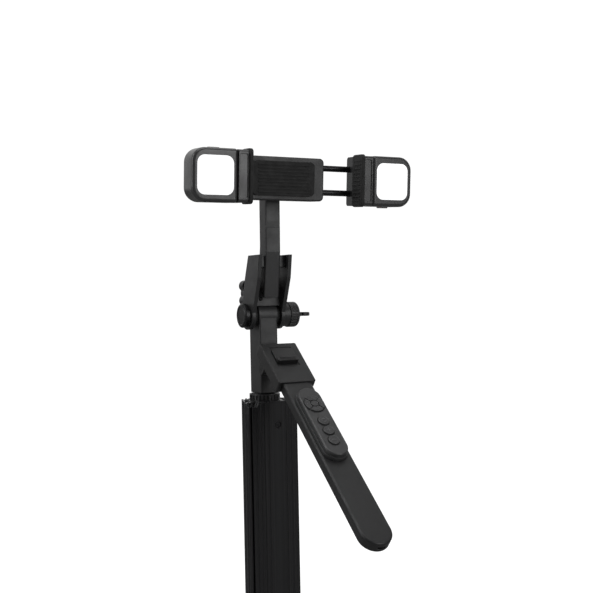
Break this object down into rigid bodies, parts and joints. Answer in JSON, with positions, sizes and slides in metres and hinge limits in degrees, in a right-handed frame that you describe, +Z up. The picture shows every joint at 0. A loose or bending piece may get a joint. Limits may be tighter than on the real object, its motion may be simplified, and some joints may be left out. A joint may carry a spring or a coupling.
{
  "type": "selfie stick",
  "caption": "Telescopic selfie stick that opens into a tripod, with a sprung phone clamp, fill lights, a swing-out handle and a small remote.",
  "frame": {"origin": "on the pole's axis, at the base of the closed stick", "axes": "+Z up the pole, +X to the right and +Y to the back of the clamp, as its user sees it"},
  "size_m": [0.1572, 0.1689, 0.4254],
  "materials": {
    "black_plastic": "fine satin grain",
    "handle_plastic": "fine matte grain",
    "gloss_black": "semi-gloss",
    "black_aluminium": "black anodised, satin",
    "black_steel": "black oxide",
    "black_rubber": "matte",
    "white_diffuser": "frosted",
    "grey_button": "translucent grey",
    "circuit_board": "solder mask"
  },
  "bodies": {
    "pole": {"outer_tube": "black_aluminium", "tube_collar": "black_plastic", "base_plug": "black_plastic"},
    "tube_2": {"tube_2": "black_aluminium"},
    "tube_3": {"tube_3": "black_aluminium"},
    "tube_4": {"tube_4": "black_aluminium"},
    "tube_5": {"tube_5": "black_aluminium"},
    "tube_6": {"tube_6": "black_aluminium"},
    "leg_hub": {"leg_hub": "black_plastic", "leg_pins": "black_steel"},
    "leg_front": {"leg_front": "black_aluminium", "leg_front_hinge_block": "black_plastic", "leg_front_screw": "black_steel", "leg_front_foot": "black_rubber"},
    "leg_right": {"leg_right": "black_aluminium", "leg_right_hinge_block": "black_plastic", "leg_right_screw": "black_steel", "leg_right_foot": "black_rubber"},
    "leg_left": {"leg_left": "black_aluminium", "leg_left_hinge_block": "black_plastic", "leg_left_screw": "black_steel", "leg_left_foot": "black_rubber"},
    "neck": {"neck_post": "black_plastic", "handle_pin": "black_steel"},
    "fork": {"tilt_yoke": "black_plastic", "tilt_bolt": "black_steel", "tilt_washers": "black_plastic", "friction_discs": "black_rubber", "swivel_stud": "black_steel"},
    "tilt_knob": {"tilt_knob": "black_plastic"},
    "knob_wing": {"knob_wing": "black_plastic"},
    "star_knob": {"star_knob": "black_plastic"},
    "clamp": {"clamp_case": "black_plastic", "clamp_cover": "black_plastic", "clamp_pad": "black_rubber", "jaw_left": "black_plastic", "jaw_left_pad": "black_rubber"},
    "sliding_jaw": {"jaw_right": "black_plastic", "jaw_right_pad": "black_rubber", "guide_rods": "black_steel"},
    "light_left": {"light_left_shell": "gloss_black", "light_left_bezel": "gloss_black", "light_left_diffuser": "white_diffuser", "light_left_board": "circuit_board"},
    "light_left_button": {"light_left_button": "grey_button"},
    "light_right": {"light_right_shell": "gloss_black", "light_right_bezel": "gloss_black", "light_right_diffuser": "white_diffuser", "light_right_board": "circuit_board"},
    "light_right_button": {"light_right_button": "grey_button"},
    "handle": {"handle_block": "handle_plastic", "handle_bar": "handle_plastic"},
    "handle_latch": {"handle_latch": "handle_plastic"},
    "remote": {"remote_case": "gloss_black", "remote_base": "gloss_black", "remote_board": "circuit_board"},
    "remote_ring": {"remote_ring": "gloss_black"},
    "remote_button_1": {"remote_button_1": "gloss_black"},
    "remote_button_2": {"remote_button_2": "gloss_black"},
    "remote_button_3": {"remote_button_3": "gloss_black"}
  },
  "joints": [
    {"name": "tube_2_slide", "type": "slide", "parent": "pole", "child": "tube_2", "axis": [0, 0, 1], "range_m": [0, 0.215]},
    {"name": "tube_3_slide", "type": "slide", "parent": "tube_2", "child": "tube_3", "axis": [0, 0, 1], "range_m": [0, 0.215]},
    {"name": "tube_4_slide", "type": "slide", "parent": "tube_3", "child": "tube_4", "axis": [0, 0, 1], "range_m": [0, 0.215]},
    {"name": "tube_5_slide", "type": "slide", "parent": "tube_4", "child": "tube_5", "axis": [0, 0, 1], "range_m": [0, 0.215]},
    {"name": "tube_6_slide", "type": "slide", "parent": "tube_5", "child": "tube_6", "axis": [0, 0, 1], "range_m": [0, 0.215]},
    {"name": "leg_hub_slide", "type": "slide", "parent": "pole", "child": "leg_hub", "axis": [0, 0, -1], "range_m": [0, 0.115]},
    {"name": "leg_front_fold", "type": "hinge", "parent": "leg_hub", "child": "leg_front", "pos_m": [0.00155, -0.00988, 0.2606], "axis": [-0.988, -0.1547, 0], "range_deg": [0, 55]},
    {"name": "leg_right_fold", "type": "hinge", "parent": "leg_hub", "child": "leg_right", "pos_m": [0.00778, 0.00628, 0.2606], "axis": [0.628, -0.7782, 0], "range_deg": [0, 55]},
    {"name": "leg_left_fold", "type": "hinge", "parent": "leg_hub", "child": "leg_left", "pos_m": [-0.00933, 0.0036, 0.2606], "axis": [0.36, 0.933, 0], "range_deg": [0, 55]},
    {"name": "head_pan", "type": "hinge", "parent": "tube_6", "child": "neck", "pos_m": [0, 0, 0.27], "axis": [0, 0, 1], "continuous": true},
    {"name": "head_tilt", "type": "hinge", "parent": "neck", "child": "fork", "pos_m": [0, 0, 0.32], "axis": [-1, 0, 0], "range_deg": [-45, 45]},
    {"name": "tilt_knob_turn", "type": "hinge", "parent": "fork", "child": "tilt_knob", "pos_m": [0.0173, 0, 0.32], "axis": [1, 0, 0], "range_deg": [-180, 180]},
    {"name": "knob_wing_fold", "type": "hinge", "parent": "tilt_knob", "child": "knob_wing", "pos_m": [0.0259, 0, 0.32], "axis": [0, 1, 0], "range_deg": [-85, 85]},
    {"name": "star_knob_turn", "type": "hinge", "parent": "fork", "child": "star_knob", "pos_m": [0, 0.0094, 0.335], "axis": [0, 1, 0], "range_deg": [-180, 180]},
    {"name": "clamp_swivel", "type": "hinge", "parent": "fork", "child": "clamp", "pos_m": [0, -0.02022, 0.40929], "axis": [0, 0.997, 0.0769], "range_deg": [-90, 90]},
    {"name": "jaw_slide", "type": "slide", "parent": "clamp", "child": "sliding_jaw", "axis": [1, 0, 0], "range_m": [-0.0215, 0.012]},
    {"name": "light_left_flip", "type": "hinge", "parent": "clamp", "child": "light_left", "pos_m": [-0.03725, -0.03886, 0.40785], "axis": [-1, 0, 0], "range_deg": [0, 180]},
    {"name": "light_left_press", "type": "slide", "parent": "light_left", "child": "light_left_button", "axis": [0, 0.0769, -0.997], "range_m": [0, 0.0006], "stiffness_N_per_m": 900},
    {"name": "light_right_flip", "type": "hinge", "parent": "sliding_jaw", "child": "light_right", "pos_m": [0.05905, -0.03886, 0.40785], "axis": [1, 0, 0], "range_deg": [0, 180]},
    {"name": "light_right_press", "type": "slide", "parent": "light_right", "child": "light_right_button", "axis": [0, -0.0769, 0.997], "range_m": [0, 0.0006], "stiffness_N_per_m": 900},
    {"name": "handle_swing", "type": "hinge", "parent": "neck", "child": "handle", "pos_m": [0, -0.0125, 0.2847], "axis": [-1, 0, 0], "range_deg": [-51, 39]},
    {"name": "latch_release", "type": "slide", "parent": "handle", "child": "handle_latch", "axis": [0, 0.7771, 0.6293], "range_m": [0, 0.0018], "stiffness_N_per_m": 400},
    {"name": "remote_lift", "type": "slide", "parent": "handle", "child": "remote", "axis": [0, -0.6293, 0.7771], "range_m": [0, 0.015]},
    {"name": "remote_ring_press", "type": "slide", "parent": "remote", "child": "remote_ring", "axis": [0, 0.6293, -0.7771], "range_m": [0, 0.0005], "stiffness_N_per_m": 800},
    {"name": "remote_button_1_press", "type": "slide", "parent": "remote", "child": "remote_button_1", "axis": [0, 0.6293, -0.7771], "range_m": [0, 0.0005], "stiffness_N_per_m": 800},
    {"name": "remote_button_2_press", "type": "slide", "parent": "remote", "child": "remote_button_2", "axis": [0, 0.6293, -0.7771], "range_m": [0, 0.0005], "stiffness_N_per_m": 800},
    {"name": "remote_button_3_press", "type": "slide", "parent": "remote", "child": "remote_button_3", "axis": [0, 0.6293, -0.7771], "range_m": [0, 0.0005], "stiffness_N_per_m": 800}
  ]
}
